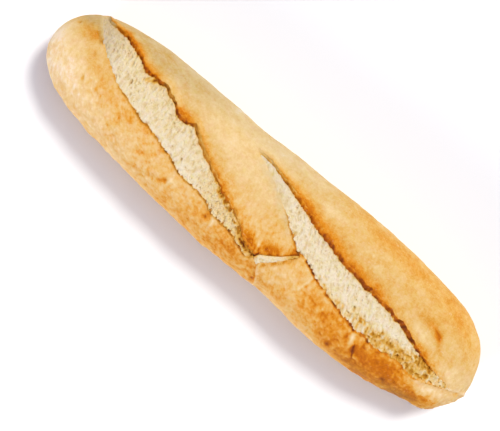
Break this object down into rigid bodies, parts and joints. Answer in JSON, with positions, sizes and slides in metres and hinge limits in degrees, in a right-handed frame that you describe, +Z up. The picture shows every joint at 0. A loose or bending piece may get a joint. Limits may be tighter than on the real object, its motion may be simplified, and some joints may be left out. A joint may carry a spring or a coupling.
{
  "type": "baguette",
  "caption": "Short pale baguette lying on its flat base, with slanting scores opened to cream crumb and a raised browned ear along the back edge of each.",
  "frame": {"origin": "on the surface that the loaf stands on, under the middle of its bounding box", "axes": "+X along the loaf towards its blunt end, +Y towards the side with the back edges of the scores, +Z up"},
  "size_m": [0.27, 0.0664, 0.0458],
  "materials": {
    "crust": "matte",
    "crumb": "matte"
  },
  "bodies": {
    "root": {"loaf": "crust"}
  },
  "joints": []
}
